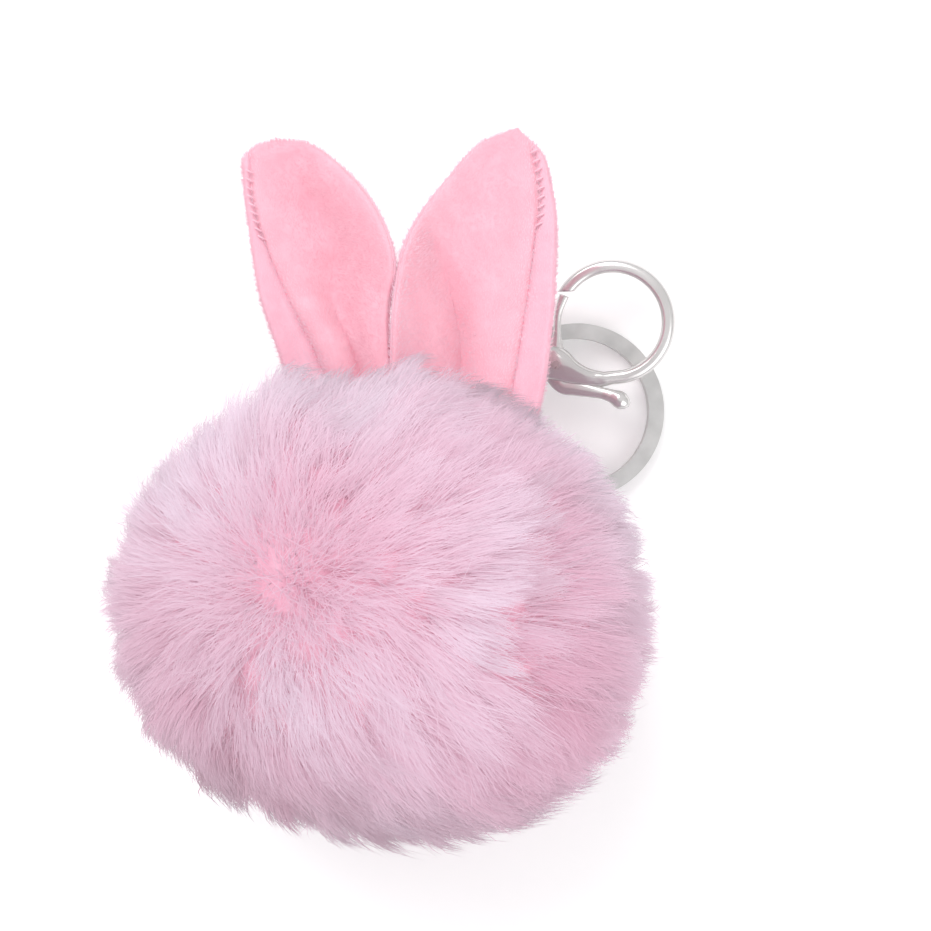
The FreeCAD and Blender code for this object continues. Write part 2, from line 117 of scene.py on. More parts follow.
def make_world():
    """A white studio tent, dimmer near the horizon."""
    world = bpy.data.worlds.new("studio")
    bpy.context.scene.world = world
    world.use_nodes = True
    tree = world.node_tree
    place = tree.nodes.new("ShaderNodeTexCoord")
    split = tree.nodes.new("ShaderNodeSeparateXYZ")
    tree.links.new(place.outputs["Generated"], split.inputs["Vector"])
    ramp = ramp_node(tree, split.outputs["Z"], [(0.0, WORLD_LOW), (0.45, WORLD_HIGH)])
    background = tree.nodes["Background"]
    background.inputs["Strength"].default_value = WORLD_STRENGTH
    tree.links.new(ramp.outputs["Color"], background.inputs["Color"])


def make_floor():
    """A wide plain floor under the ball's resting patch."""
    half = FLOOR_SIZE / 2
    data = bpy.data.meshes.new("floor")
    points = [(-half, -half, 0), (half, -half, 0), (half, half, 0), (-half, half, 0)]
    data.from_pydata(points, [], [(0, 1, 2, 3)])
    floor = bpy.data.objects.new("floor", data)
    floor.location.z = FLOOR * MM
    bpy.context.scene.collection.objects.link(floor)
    paper = cloth_material("floor_paper", (0.93, 0.93, 0.93), (0.95, 0.95, 0.95), 900, 0.02, 0.6)
    paper.node_tree.nodes["Principled BSDF"].inputs["Emission Strength"].default_value = FLOOR_GLOW
    data.materials.append(paper)


# ---------------------------------------------------------------- materials

METALLIC = 0.75


def new_material(name, roughness, metallic=0.0):
    """A material with its node tree and its shader."""
    material = bpy.data.materials.new(name)
    material.use_nodes = True
    shader = material.node_tree.nodes["Principled BSDF"]
    shader.inputs["Roughness"].default_value = roughness
    shader.inputs["Metallic"].default_value = metallic
    return material, material.node_tree, shader


def noise_node(tree, scale, detail=3.0, stretch=(1, 1, 1)):
    """Noise in object space, in metres, stretched along the axes."""
    place = tree.nodes.new("ShaderNodeTexCoord")
    mapping = tree.nodes.new("ShaderNodeMapping")
    mapping.inputs["Scale"].default_value = stretch
    noise = tree.nodes.new("ShaderNodeTexNoise")
    noise.inputs["Scale"].default_value = scale
    noise.inputs["Detail"].default_value = detail
    tree.links.new(place.outputs["Object"], mapping.inputs["Vector"])
    tree.links.new(mapping.outputs["Vector"], noise.inputs["Vector"])
    return noise


def ramp_node(tree, source, stops):
    """A colour ramp; stops are (position, colour)."""
    ramp = tree.nodes.new("ShaderNodeValToRGB")
    elements = ramp.color_ramp.elements
    while len(elements) < len(stops):
        elements.new(0.5)
    for element, (position, colour) in zip(elements, stops):
        element.position = position
        element.color = (*colour, 1)
    tree.links.new(source, ramp.inputs["Fac"])
    return ramp


def bump(tree, shader, height, distance, strength=1.0):
    """Fine relief of distance metres, driven by height."""
    node = tree.nodes.new("ShaderNodeBump")
    node.inputs["Distance"].default_value = distance
    node.inputs["Strength"].default_value = strength
    tree.links.new(height, node.inputs["Height"])
    tree.links.new(node.outputs["Normal"], shader.inputs["Normal"])


def cloth_material(name, dark, light, scale, depth, roughness, sheen=0.0, stretch=(1, 1, 1)):
    """Cloth, thread or paper: two tones mixed by noise, with a fine bump of depth millimetres."""
    material, tree, shader = new_material(name, roughness)
    noise = noise_node(tree, scale, stretch=stretch)
    ramp = ramp_node(tree, noise.outputs["Fac"], [(0.3, dark), (0.7, light)])
    tree.links.new(ramp.outputs["Color"], shader.inputs["Base Color"])
    bump(tree, shader, noise.outputs["Fac"], depth * MM)
    shader.inputs["Sheen Weight"].default_value = sheen
    return material


def metal_material(name, dark, light, scale, roughness, depth, stretch=(1, 1, 1)):
    """Plated or brushed metal: slight tone and gloss changes, and fine scratches."""
    material, tree, shader = new_material(name, roughness, METALLIC)
    noise = noise_node(tree, scale, 6.0, stretch)
    ramp = ramp_node(tree, noise.outputs["Fac"], [(0.3, dark), (0.7, light)])
    tree.links.new(ramp.outputs["Color"], shader.inputs["Base Color"])
    gloss = tree.nodes.new("ShaderNodeMapRange")
    gloss.inputs["To Min"].default_value = roughness * 0.8
    gloss.inputs["To Max"].default_value = roughness * 1.25
    tree.links.new(noise.outputs["Fac"], gloss.inputs["Value"])
    tree.links.new(gloss.outputs["Result"], shader.inputs["Roughness"])
    bump(tree, shader, noise.outputs["Fac"], depth * MM, 0.5)
    return material


def fibre_material(name, dull, bright, roughness, sheen, painted_glow):
    """Fibres, with a painted glow: emission in their own colour that stands in for the light passing through
    them.

    The map's v runs from root to tip, and its u from the duller fibres to the brighter ones.
    """
    material, tree, shader = new_material(name, roughness)
    uv = tree.nodes.new("ShaderNodeUVMap")
    uv.uv_map = "OFBake"
    split = tree.nodes.new("ShaderNodeSeparateXYZ")
    tree.links.new(uv.outputs["UV"], split.inputs["Vector"])
    mix = tree.nodes.new("ShaderNodeMix")
    mix.data_type = "RGBA"
    for socket, stops in (("A", dull), ("B", bright)):
        ramp = ramp_node(tree, split.outputs["Y"], stops)
        target = [i for i in mix.inputs if i.name == socket and i.type == "RGBA"][0]
        tree.links.new(ramp.outputs["Color"], target)
    tree.links.new(split.outputs["X"], mix.inputs["Factor"])
    result = [o for o in mix.outputs if o.type == "RGBA"][0]
    tree.links.new(result, shader.inputs["Base Color"])
    tree.links.new(result, shader.inputs["Emission Color"])
    shader.inputs["Emission Strength"].default_value = painted_glow
    shader.inputs["Sheen Weight"].default_value = sheen
    shader.inputs["Specular IOR Level"].default_value = 0.2
    return material


# ---------------------------------------------------------------- mesh helpers

STRAND_SIDES = 3
TINT_WIDTH = 1 / 80  # how wide each strand's strip of the map is
STRAND_TAPER = 0.6


def add_mesh(name, points, loops, sizes, material, body, normals=None, uv=None):
    """A smooth mesh in millimetres that rides on a body.

    loops and sizes are its faces, and uv has one pair for each point.
    """
    data = bpy.data.meshes.new(name)
    data.vertices.add(len(points))
    data.vertices.foreach_set("co", (np.asarray(points) * MM).astype(np.float32).ravel())
    data.loops.add(len(loops))
    data.loops.foreach_set("vertex_index", np.asarray(loops, np.int32))
    data.polygons.add(len(sizes))
    starts = np.concatenate([[0], np.cumsum(sizes)[:-1]]).astype(np.int32)
    data.polygons.foreach_set("loop_start", starts)
    data.polygons.foreach_set("use_smooth", np.ones(len(sizes), bool))
    if uv is not None:
        layer = data.uv_layers.new(name="OFBake")
        layer.data.foreach_set("uv", np.asarray(uv, np.float32)[loops].ravel())
    data.update(calc_edges=True)
    data.validate()
    if normals is not None:
        data.normals_split_custom_set_from_vertices(normals.tolist())
    data.materials.append(material)
    piece = bpy.data.objects.new(name, data)
    bpy.context.scene.collection.objects.link(piece)
    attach(piece, body)
    return piece


def unit(v):
    """Vectors at length one."""
    return v / np.maximum(np.linalg.norm(v, axis=-1, keepdims=True), 1e-9)


def fibonacci_sphere(count):
    """Evenly spread unit vectors."""
    step = np.arange(count) + 0.5
    z = 1 - 2 * step / count
    turn = step * math.pi * (3 - math.sqrt(5))
    flat = np.sqrt(1 - z * z)
    return np.stack([flat * np.cos(turn), flat * np.sin(turn), z], 1)


def smooth_noise(points, scale, rng, waves=24):
    """A smooth random value from about -1 to 1 at each point."""
    total = np.zeros(len(points))
    for _ in range(waves):
        wave = unit(rng.normal(size=3)) * scale * rng.uniform(0.5, 1.5)
        total += np.sin(points @ wave + rng.uniform(0, 2 * math.pi))
    return total / math.sqrt(waves / 2) / 1.4


def strand_faces(count, rings):
    """Faces of closed three-sided strands that taper to a point, as (loops, sizes)."""
    loops, sizes = [[2, 1, 0]], [3]
    for ring in range(rings - 1):
        for side in range(STRAND_SIDES):
            a, b = ring * STRAND_SIDES + side, ring * STRAND_SIDES + (side + 1) % STRAND_SIDES
            loops.append([a, b, b + STRAND_SIDES, a + STRAND_SIDES])
            sizes.append(4)
    last, tip = (rings - 1) * STRAND_SIDES, rings * STRAND_SIDES
    for side in range(STRAND_SIDES):
        loops.append([last + side, last + (side + 1) % STRAND_SIDES, tip])
        sizes.append(3)
    flat = np.concatenate([np.array(face) for face in loops])
    stride = tip + 1
    offsets = np.arange(count)[:, None] * stride
    return (flat[None, :] + offsets).ravel(), np.tile(sizes, count)


def add_strands(name, paths, radius, tint, outward, softness, material, body):
    """Strands along paths (count, rings + 1, 3) as one piece.

    Their shading leans towards outward by softness.
    """
    count, rings = paths.shape[0], paths.shape[1] - 1
    along = unit(np.gradient(paths, axis=1))
    side = unit(np.cross(along, outward[:, None, :]))
    up = np.cross(along, side)
    taper = np.linspace(1, 0, rings + 1) ** STRAND_TAPER
    vertices, normals, uv = [], [], []
    for ring in range(rings):
        for corner in range(STRAND_SIDES):
            angle = math.pi / 2 + corner * 2 * math.pi / STRAND_SIDES
            offset = side[:, ring] * math.cos(angle) + up[:, ring] * math.sin(angle)
            vertices.append(paths[:, ring] + offset * (radius * taper[ring])[:, None])
            normals.append(unit(offset * (1 - softness) + outward * softness))
            across = tint * (1 - TINT_WIDTH) + TINT_WIDTH * corner / (STRAND_SIDES - 1)
            uv.append(np.stack([across, np.full(count, 0.01 + 0.98 * ring / rings)], 1))
    vertices.append(paths[:, rings])
    normals.append(outward)
    uv.append(np.stack([tint * (1 - TINT_WIDTH) + TINT_WIDTH / 2, np.full(count, 0.99)], 1))
    points = np.stack(vertices, 1).reshape(-1, 3)
    loops, sizes = strand_faces(count, rings)
    return add_mesh(
        name, points, loops, sizes, material, body,
        np.stack(normals, 1).reshape(-1, 3), np.stack(uv, 1).reshape(-1, 2),
    )


# ---------------------------------------------------------------- the fur's lie


def on_top(x, y):
    """The unit direction, in the ball's own proportions, of a place on its upper half."""
    a, b = x / BALL_HALF[0], y / BALL_HALF[1]
    return np.array([a, b, math.sqrt(max(0.0, 1 - a * a - b * b))])


WHORL = on_top(-17, 5)  # the fur is combed away from here
FAN = on_top(16.5, -9)  # and from here, towards the right and the bottom
PARTING_Y = [-12, -4, 3, 18]  # the parting on the right, from bottom to top
PARTING_X = [16.5, 17.6, 22.5, 22.9]
CROWN = 0.30  # how far round the whorl the tufts stand up and part, in radians
PARTING_TINT = 5.0  # how much paler the fur is for each ball's radius that it stands proud there
PARTING_HOLLOW = 9.0  # how far to the right of the parting the fur stays lower
PARTING_DROP, PARTING_RISE = 0.06, 0.045
FAN_REACH = 0.36
LIE_WANDER = 0.30
# The outline's bulges, seen from above: how many there are, how far out they reach, and the degrees of one.
OUTLINE_BULGES = [(1, 0.034, -70), (2, 0.014, -25), (3, 0.022, -50), (4, 0.007, 45)]
# How much further the fur reaches over the ears' roots, from left to right. Below zero it reaches less far.
CREST_ACROSS = [-0.55, -0.38, -0.25, -0.10, 0.14, 0.36, 0.58, 0.75]
CREST_REACH = [0.03, 0.13, 0.07, -0.03, 0.06, -0.03, -0.04, 0.0]


def away_from(u, centre):
    """The way along the ball's surface that leads away from centre."""
    return unit(u * (u @ centre)[:, None] - centre)


def comb(u, rng):
    """Which way the fur lies at each direction u, along the ball's surface."""
    flow = away_from(u, WHORL)
    fan = away_from(u, FAN)
    near = np.exp(-((np.arccos(np.clip(u @ FAN, -1, 1)) / FAN_REACH) ** 2))
    near = near * np.clip(1.5 * (fan * flow).sum(1), 0, 1)
    flow = unit(flow * (1 - near)[:, None] + fan * near[:, None])
    turn = LIE_WANDER * smooth_noise(u, 4.0, rng)
    return flow * np.cos(turn)[:, None] + np.cross(u, flow) * np.sin(turn)[:, None]


def outline_factor(u):
    """How much further out than an ellipse the fur reaches, seen from above."""
    angle = np.arctan2(u[..., 1] * BALL_HALF[1], u[..., 0] * BALL_HALF[0])
    reach = sum(amount * np.cos(count * (angle - math.radians(at))) for count, amount, at in OUTLINE_BULGES)
    return 1 + reach * (1 - u[..., 2] ** 2)


def crest(u):
    """How much further the fur reaches where it is pushed up over the ears' roots, from left to right."""
    high = np.clip((u[..., 1] - 0.4) / 0.3, 0, 1) * np.clip(u[..., 2] / 0.15, 0, 1)
    return 1 + high * np.interp(u[..., 0], CREST_ACROSS, CREST_REACH)


def ball_point(u, reach):
    """The place at the unit direction u and the share reach of the ball's radius, in millimetres."""
    factor = (outline_factor(u) * crest(u) * reach)[..., None]
    return BALL_CENTRE + u * BALL_HALF * factor


# ---------------------------------------------------------------- the ears' shape

EAR_ROOT_Y = 24.5
EAR_TROUGH_Z = 34.0
EAR_CUP = 17.0
EAR_HALF_THICKNESS = 1.4
CUP_LIMIT = 15.5
FOLD_FADE = 8.0
SEAM_FOLD = 0.9
SEAM_FOLD_WIDTH = 0.8

# Outlines and lines on each ear, as (across, along) from its root. outer is the side that the seam is rolled
# on, and paleness is how pale the middle of its pile is.
EARS = {
    "left": dict(
        root_x=-7.0, lean=10.2, outer=-1, paleness=0.24,
        low_side=[
            (-3.5, 0), (-5.0, 8), (-6.4, 16.5), (-7.7, 26), (-7.5, 37), (-7.1, 44.5), (-6.4, 48.3),
            (-4.4, 49.8), (-1.0, 50.3),
        ],
        high_side=[
            (9.5, 0), (10.8, 12), (12.2, 20.5), (14.2, 27), (13.6, 33.5), (8.6, 44), (3.8, 48.9),
            (-1.0, 50.3),
        ],
        seam=[
            (1.6, 2), (0.5, 11), (-0.8, 16.5), (-3.2, 24), (-5.0, 30.5), (-6.3, 37), (-6.5, 43), (-5.6, 47.5),
        ],
    ),
    "right": dict(
        root_x=12.0, lean=-10.5, outer=1, paleness=0.48,
        low_side=[
            (-10.5, 0), (-12.6, 12), (-13.8, 22), (-13.7, 30), (-9.0, 42.2), (-4.9, 48.8), (0.2, 52.2),
        ],
        high_side=[(10.8, 0), (11.8, 10), (11.4, 20), (10.5, 29), (8.0, 42), (4.6, 49.2), (0.2, 52.2)],
        seam=[
            (7.4, 0), (7.2, 10), (7.0, 26), (6.6, 34), (6.4, 39.5), (5.6, 43.5), (4.2, 47.5), (2.8, 50.6),
        ],
    ),
}

# Each fold: its line as (across, along) points, its depth (a ridge is negative), its half width, and where it
# starts and ends along the ear.
FOLDS = {
    "left": [
        ([(6.3, 8), (5.5, 13.7), (4.9, 16.7), (3.7, 19.5), (2.4, 23)], 1.9, 0.9, -5, 22),
        ([(4.7, 12), (4.4, 25), (5.6, 32), (4.4, 36), (0.8, 45)], 2.6, 3.8, 17, 48),
        ([(4.0, 0), (2.9, 12), (1.2, 18.5), (-1.3, 27)], -1.7, 1.9, -10, 30),
        ([(9.3, 0), (9.0, 20)], -1.3, 2.0, -10, 27),
    ],
    "right": [
        ([(0, 0), (-1.2, 12.5), (-2.3, 17), (-4.9, 22.6), (-8.2, 28.7), (-11, 32.5)], 2.8, 2.8, -10, 35),
        ([(3.2, 0), (2.6, 17), (1.0, 26), (-0.5, 36)], -1.7, 3.6, -10, 44),
    ],
}


def smooth_curve(points, at):
    """A smooth curve through points, sampled at the shares at of its length."""
    points = np.asarray(points, float)
    steps = np.linalg.norm(np.diff(points, axis=0), axis=1)
    knots = np.concatenate([[0], np.cumsum(steps)]) / steps.sum()
    slopes = np.gradient(points, knots, axis=0)
    span = np.clip(np.searchsorted(knots, at, side="right") - 1, 0, len(knots) - 2)
    width = knots[span + 1] - knots[span]
    t = ((at - knots[span]) / width)[:, None]
    width = width[:, None]
    return (
        (2 * t**3 - 3 * t**2 + 1) * points[span] + (t**3 - 2 * t**2 + t) * width * slopes[span]
        + (3 * t**2 - 2 * t**3) * points[span + 1] + (t**3 - t**2) * width * slopes[span + 1]
    )


def line_across(points, y):
    """Where a line of (across, along) points lies at each y."""
    return np.interp(y, [p[1] for p in points], [p[0] for p in points])


def ear_rise(x, y, side):
    """How high the ear's middle surface stands over its trough: the cup and the folds of its root."""
    rise = EAR_CUP - np.sqrt(EAR_CUP**2 - np.clip(np.abs(x), 0, CUP_LIMIT) ** 2)
    for line, depth, width, start, stop in FOLDS[side]:
        fade = np.clip((y - start) / FOLD_FADE, 0, 1) * np.clip((stop - y) / FOLD_FADE, 0, 1)
        rise -= depth * fade * np.exp(-(((x - line_across(line, y)) / width) ** 2))
    seam = line_across(EARS[side]["seam"], y)
    fade = np.clip((40 - y) / 12, 0, 1)
    return rise - SEAM_FOLD * fade * np.exp(-(((x - seam) / SEAM_FOLD_WIDTH) ** 2))


def ear_to_ball(points, side):
    """From an ear's own place (across, along, height over the trough) to the object's frame."""
    ear = EARS[side]
    lean = math.radians(ear["lean"])
    x = ear["root_x"] + points[..., 0] * math.cos(lean) - points[..., 1] * math.sin(lean)
    y = EAR_ROOT_Y + points[..., 0] * math.sin(lean) + points[..., 1] * math.cos(lean)
    return np.stack([x, y, EAR_TROUGH_Z + points[..., 2]], -1)


def ball_to_ear(points, side):
    """From the object's frame to how far across and along an ear points lie."""
    ear = EARS[side]
    lean = math.radians(ear["lean"])
    dx, dy = points[..., 0] - ear["root_x"], points[..., 1] - EAR_ROOT_Y
    across = dx * math.cos(lean) + dy * math.sin(lean)
    along = -dx * math.sin(lean) + dy * math.cos(lean)
    return across, along


def ear_gap(points, side):
    """(inside the ear's outline, height over its middle surface) of points in the object's frame."""
    ear = EARS[side]
    across, along = ball_to_ear(points, side)
    low, high = line_across(ear["low_side"], along), line_across(ear["high_side"], along)
    inside = (along > -4) & (across > low - 1) & (across < high + 1)
    return inside, points[..., 2] - EAR_TROUGH_Z - ear_rise(across, along, side)


# ---------------------------------------------------------------- the fur

STRANDS = 96000
SHORT_FIBRES = 26000
TUFTS = 1400
STRAND_RINGS = 4
PIECE_STRANDS = 8500
SHADING_PIECES = 1  # how many of the pieces shade the others
ROOT_REACH = 0.74
UNDERCOAT_REACH = 0.865
STRAND_RADIUS = 0.105
FUR_SOFTNESS = 0.97
TUFT_LEAN, TOP_LEAN = 0.24, 0.20
PINCH = 0.40  # how far a tuft's strands draw together at its tip
STRAY_SHARE = 0.12
UNDERCOAT_RINGS = 120


def make_tufts(rng):
    """Where the fur's tufts grow, which way and how far they lean, and how far out they reach."""
    centre = unit(fibonacci_sphere(TUFTS) + rng.normal(0, 0.02, (TUFTS, 3)))
    lie = comb(centre, rng)
    twist = rng.normal(0, 0.22, TUFTS)[:, None]
    lie = lie * np.cos(twist) + np.cross(centre, lie) * np.sin(twist)
    from_whorl = np.arccos(np.clip(centre @ WHORL, -1, 1))
    height = centre[:, 2]
    lean = (TUFT_LEAN + TOP_LEAN * np.clip(height, 0, 1)) * rng.uniform(0.75, 1.25, TUFTS)
    lean *= np.clip(0.06 + from_whorl / 0.7, 0, 1)
    reach = rng.normal(0.985, 0.022, TUFTS)
    return centre, lie, lean, reach


def stop_at_parting(centre, lie, lean, reach):
    """Tufts that lean over the parting from its left end on it, a little proud."""
    root = ball_point(centre, np.full(len(centre), 0.9))
    tip = ball_point(unit(centre * np.cos(lean)[:, None] + lie * np.sin(lean)[:, None]), reach)
    line = np.interp(tip[:, 1], PARTING_Y, PARTING_X)
    beside = (tip[:, 1] > PARTING_Y[0] - 2) & (tip[:, 1] < PARTING_Y[-1] + 3) & (centre[:, 2] > 0.2)
    crossing = beside & (root[:, 0] < line) & (tip[:, 0] > line)
    share = (line - root[:, 0]) / np.maximum(tip[:, 0] - root[:, 0], 1e-6)
    lean = np.where(crossing, lean * np.clip(share, 0.25, 1), lean)
    past = root[:, 0] - np.interp(root[:, 1], PARTING_Y, PARTING_X)
    hollow = beside & (past > 0) & (past < PARTING_HOLLOW)
    reach = np.where(hollow, reach - PARTING_DROP * (1 - past / PARTING_HOLLOW), reach)
    return lean, np.where(crossing, reach + PARTING_RISE, reach)


def strand_paths(rng):
    """The fur's strands as (paths, outward, tint)."""
    centre, lie, lean, reach = make_tufts(rng)
    lean, parted = stop_at_parting(centre, lie, lean, reach)
    root = unit(fibonacci_sphere(STRANDS) + rng.normal(0, 0.006, (STRANDS, 3)))
    tuft = np.concatenate([np.argmax(part @ centre.T, 1) for part in np.array_split(root, 16)])
    pinch = np.clip(rng.normal(PINCH, 0.12, TUFTS)[tuft] + rng.normal(0, 0.10, STRANDS), 0, 0.9)
    stray = rng.random(STRANDS) < STRAY_SHARE
    pinch[stray] *= 0.2
    crown = np.exp(-((np.arccos(np.clip(centre @ WHORL, -1, 1)) / CROWN) ** 2))[tuft]
    pinch *= 1 - 0.8 * crown
    own_lean = lean[tuft] * rng.uniform(0.85, 1.12, STRANDS) + 0.10 * crown
    spread = np.where(stray, 3.0, 1.0) + 6.0 * crown
    own_lie = lie[tuft] + rng.normal(0, 0.10, (STRANDS, 3)) * spread[:, None]
    own_lie = unit(own_lie - centre[tuft] * (own_lie * centre[tuft]).sum(1)[:, None])
    length = rng.uniform(0.72, 1.0, STRANDS)
    own_reach = parted[tuft] + rng.normal(0, 0.012, STRANDS)
    offset = root - centre[tuft]
    curl = rng.uniform(0, 2 * math.pi, TUFTS)[tuft] + rng.normal(0, 0.5, STRANDS)
    across = np.cross(centre[tuft], own_lie)
    path = []
    for ring in range(STRAND_RINGS + 1):
        s = length * ring / STRAND_RINGS
        swept = own_lean * s**1.35
        guide = centre[tuft] * np.cos(swept)[:, None] + own_lie * np.sin(swept)[:, None]
        guide = guide + across * (0.012 * np.sin(curl + 5 * s) * s)[:, None]
        u = unit(guide + offset * (1 - pinch * s**1.2)[:, None])
        rise = ROOT_REACH + (own_reach - ROOT_REACH) * (1 - (1 - s) ** 1.7)
        path.append(ball_point(u, rise))
    path = np.stack(path, 1)
    tip = (path[:, -1] - BALL_CENTRE) / BALL_HALF
    # Paler towards +y, the side the key lamp shines from: painted light. Pinker where the tip stands higher
    # on the ball.
    paleness_and_painted_light = 0.62 + 0.25 * path[:, -1, 1] / BALL_HALF[1] - 0.14 * tip[:, 2]
    patches = 0.27 * smooth_noise(centre, 7, rng) + rng.normal(0, 0.05, TUFTS)
    patches += PARTING_TINT * (parted - reach)
    tint = paleness_and_painted_light + patches[tuft] + rng.normal(0, 0.05, STRANDS) - 0.25 * crown
    return path, unit(root / BALL_HALF), np.clip(tint, 0, 1)


def part_round_ears(path):
    """Lays strands over or under the ears, and says which to leave out because the ear's root is there."""
    blocked = np.zeros(len(path), bool)
    for side in EARS:
        inside, gap = ear_gap(path[:, 0], side)
        upper = gap > 0
        blocked |= inside & (np.abs(gap) < EAR_HALF_THICKNESS + 0.8)
        for ring in range(1, path.shape[1]):
            inside, gap = ear_gap(path[:, ring], side)
            clear = EAR_HALF_THICKNESS + 0.25 + 0.12 * ring
            path[:, ring, 2] += np.where(inside & upper, np.maximum(0, clear - gap), 0)
            path[:, ring, 2] -= np.where(inside & ~upper, np.maximum(0, clear + gap), 0)
    return blocked


def short_fibres(rng):
    """The short fibres that fill the fur between its tufts, in the same form as strand_paths."""
    root = unit(rng.normal(size=(SHORT_FIBRES, 3)))
    lie = unit(comb(root, rng) + 0.5 * rng.normal(size=root.shape))
    lie = unit(lie - root * (lie * root).sum(1)[:, None])
    lean, reach = rng.uniform(0.02, 0.16, SHORT_FIBRES), rng.uniform(0.89, 0.955, SHORT_FIBRES)
    path = []
    for ring in range(STRAND_RINGS + 1):
        s = ring / STRAND_RINGS
        swept = (lean * s**1.3)[:, None]
        rise = UNDERCOAT_REACH - 0.03 + (reach - UNDERCOAT_REACH + 0.03) * s
        path.append(ball_point(root * np.cos(swept) + lie * np.sin(swept), rise))
    tint = np.clip(0.35 + 0.2 * smooth_noise(root, 9, rng) + 0.12 * rng.normal(size=SHORT_FIBRES), 0, 1)
    return np.stack(path, 1), unit(root / BALL_HALF), tint


def make_fur(material):
    """The long strands and the short fibres, clear of the ears and the floor, shuffled into equal pieces."""
    rng = np.random.default_rng(SEED)
    long_fur, short_fur = strand_paths(rng), short_fibres(rng)
    path, outward, tint = [np.concatenate(pair) for pair in zip(long_fur, short_fur)]
    blocked = part_round_ears(path)
    floor = FLOOR + 0.3 + 0.5 * rng.random(len(path))[:, None]
    path[:, :, 2] = np.maximum(path[:, :, 2], floor)
    keep = rng.permutation(np.flatnonzero(~blocked))
    radius = STRAND_RADIUS * rng.uniform(0.75, 1.2, len(path))
    for number, part in enumerate(np.array_split(keep, math.ceil(len(keep) / PIECE_STRANDS))):
        fur = add_strands(
            f"fur_strands_{number + 1}", path[part], radius[part], tint[part],
            outward[part], FUR_SOFTNESS, material, "pompom",
        )
        fur.visible_shadow = number < SHADING_PIECES


def make_undercoat(material):
    """The dense short fur under the long strands: a lumpy ball, drawn in where the ears are sewn on."""
    rng = np.random.default_rng(SEED + 1)
    around = 2 * UNDERCOAT_RINGS
    polar = np.linspace(0, math.pi, UNDERCOAT_RINGS + 1)[1:-1]
    turn = np.arange(around) * 2 * math.pi / around
    flat, up = np.sin(polar)[:, None], np.cos(polar)[:, None]
    grid = np.stack(np.broadcast_arrays(flat * np.cos(turn), flat * np.sin(turn), up), -1).reshape(-1, 3)
    u = np.concatenate([grid, [[0, 0, 1], [0, 0, -1]]])
    reach = UNDERCOAT_REACH + 0.012 * smooth_noise(u, 14, rng) + 0.008 * smooth_noise(u, 45, rng)
    points = ball_point(u, reach)
    beside = np.exp(-(np.maximum(np.abs(points[:, 0] - 2.5) - 16, 0) / 4) ** 2)
    level = np.exp(-(np.maximum(np.abs(points[:, 2] - EAR_TROUGH_Z - 3) - 4, 0) / 4) ** 2)
    back = np.maximum(points[:, 1] - (EAR_ROOT_Y - 2), 0)
    points[:, 1] -= back * beside * level
    points[:, 2] = np.maximum(points[:, 2], FLOOR + 0.4)
    rows = UNDERCOAT_RINGS - 1
    a = (np.arange(rows - 1)[:, None] * around + np.arange(around)).ravel()
    b = (np.arange(rows - 1)[:, None] * around + (np.arange(around) + 1) % around).ravel()
    quads = np.stack([a, a + around, b + around, b], 1)
    top, bottom, last = rows * around, rows * around + 1, (rows - 1) * around
    ring, following = np.arange(around), (np.arange(around) + 1) % around
    caps = np.concatenate([
        np.stack([np.full(around, top), ring, following], 1),
        np.stack([np.full(around, bottom), last + following, last + ring], 1),
    ])
    loops = np.concatenate([quads.ravel(), caps.ravel()])
    sizes = np.concatenate([np.full(len(quads), 4), np.full(len(caps), 3)])
    undercoat = add_mesh("fur_undercoat", points, loops, sizes, material, "pompom")
    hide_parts("fur_pile")


# ---------------------------------------------------------------- the ears

EAR_ROWS = 110
PANEL_COLUMNS = 72
PANEL_THICKNESS = 0.7
SEAM_WIDTH = 0.8
SEAM_GROOVE = 0.45
PILE_DENSITY = 13.0  # short fibres per square millimetre
BACK_PILE_DENSITY = 10.0
PILE_LENGTH = 0.7
PILE_RADIUS = 0.05
PILE_SOFTNESS = 0.95
# How much paler the pile is along the panels' edges and at the tip: painted sheen.
EDGE_PAINTED_SHEEN = 0.55
LIGHT_THROUGH_PILE = 0.9
STITCHES = 9
STITCH_RADIUS = 0.16
STITCH_REACH = 0.45
STITCH_START, STITCH_STOP = 0.74, 0.965


def ear_section(side, shares):
    """The outline's middle and half width, and the seam's place between its edges (-1 to 1), at shares."""
    ear = EARS[side]
    low, high = smooth_curve(ear["low_side"], shares), smooth_curve(ear["high_side"], shares)
    middle, half = (low + high) / 2, (high - low) / 2
    width = np.maximum(half[:, 0], 0.05)
    place = np.zeros(len(shares))
    for _ in range(4):
        seam_x = line_across(ear["seam"], middle[:, 1] + half[:, 1] * place)
        place = (seam_x - middle[:, 0]) / width
        place = np.clip(place * ear["outer"], 0.05, 0.95) * ear["outer"]
    return middle, half, place


